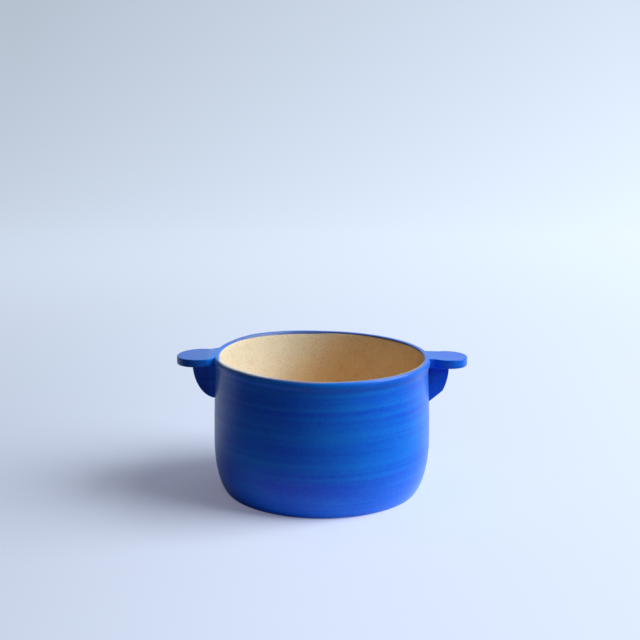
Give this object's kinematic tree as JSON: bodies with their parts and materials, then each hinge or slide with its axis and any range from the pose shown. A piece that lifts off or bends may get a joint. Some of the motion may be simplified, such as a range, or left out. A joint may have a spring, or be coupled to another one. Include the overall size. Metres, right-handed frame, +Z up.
{
  "type": "yarn bowl",
  "caption": "Round straight-sided stoneware bowl with a rounded heel, glazed inside, with flat lobed tab handles level with the rim, each on a short upright fin.",
  "frame": {"origin": "centre of the foot, on the surface the bowl stands on", "axes": "+Z up along the axis the bowl was thrown on, +X through the narrower handle, -X through the wider one"},
  "size_m": [0.2012, 0.1506, 0.094],
  "materials": {
    "blue_slip": "satin matte cobalt slip on stoneware",
    "cream_glaze": "glossy speckled cream glaze"
  },
  "bodies": {
    "root": {"bowl_body": "blue_slip", "liner_glaze": "cream_glaze", "left_tab_handle": "blue_slip", "right_tab_handle": "blue_slip", "left_handle_fin": "blue_slip", "right_handle_fin": "blue_slip"}
  },
  "joints": []
}
